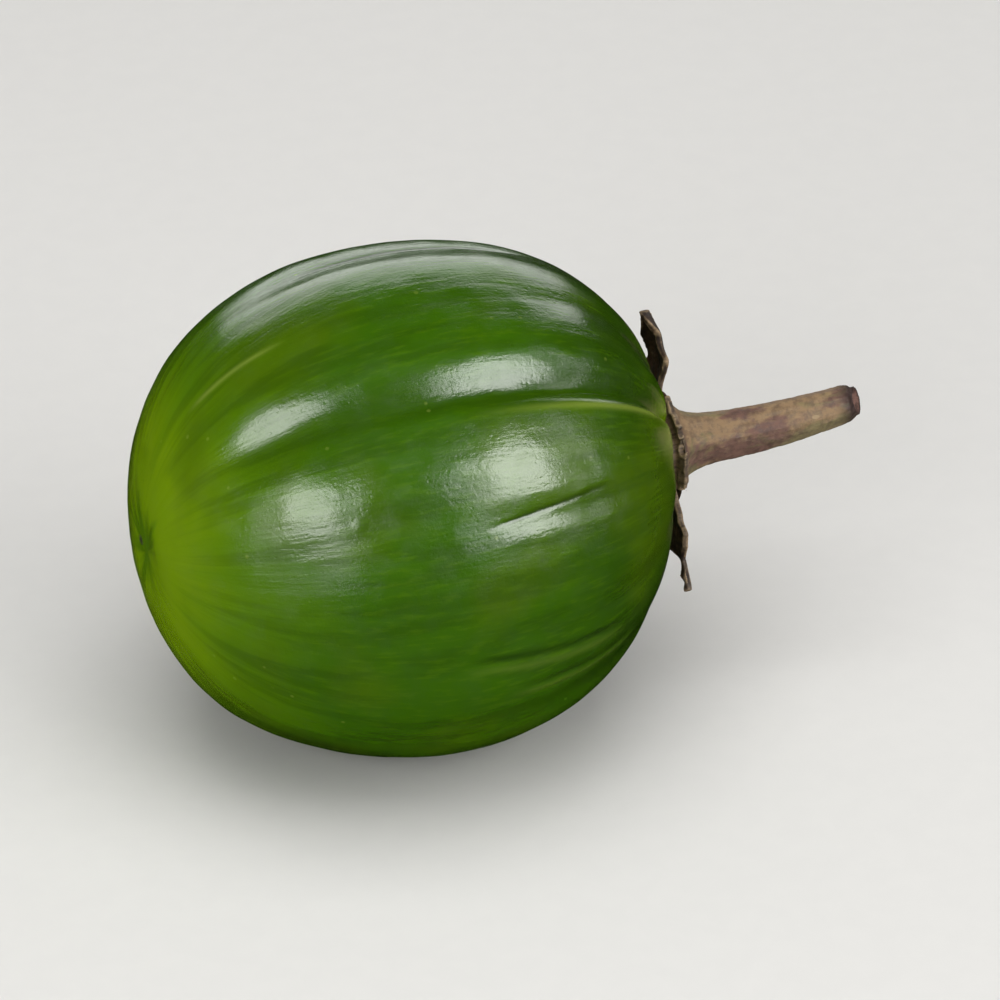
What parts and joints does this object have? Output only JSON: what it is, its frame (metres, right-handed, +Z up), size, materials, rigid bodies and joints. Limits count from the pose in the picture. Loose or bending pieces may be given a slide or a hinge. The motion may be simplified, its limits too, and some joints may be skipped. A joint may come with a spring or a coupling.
{
  "type": "scarlet eggplant",
  "caption": "Round ribbed scarlet eggplant picked green, lying on its side, with a dried star-shaped calyx and a short cut stem.",
  "frame": {"origin": "middle of the small flat spot that the fruit lies on", "axes": "+X along the fruit's axis towards the stem, +Z up, so -Y is the side that the picture shows"},
  "size_m": [0.0806, 0.0543, 0.0534],
  "materials": {
    "skin": "glossy mid green skin, streaked from end to end, yellower at the blossom end",
    "dried_calyx": "dry, brown and papery, dark in its folds",
    "stem_bark": "matt grey-brown and olive, mottled with purple-brown"
  },
  "bodies": {
    "root": {"fruit": "skin", "calyx": "dried_calyx", "stem": "stem_bark"}
  },
  "joints": []
}
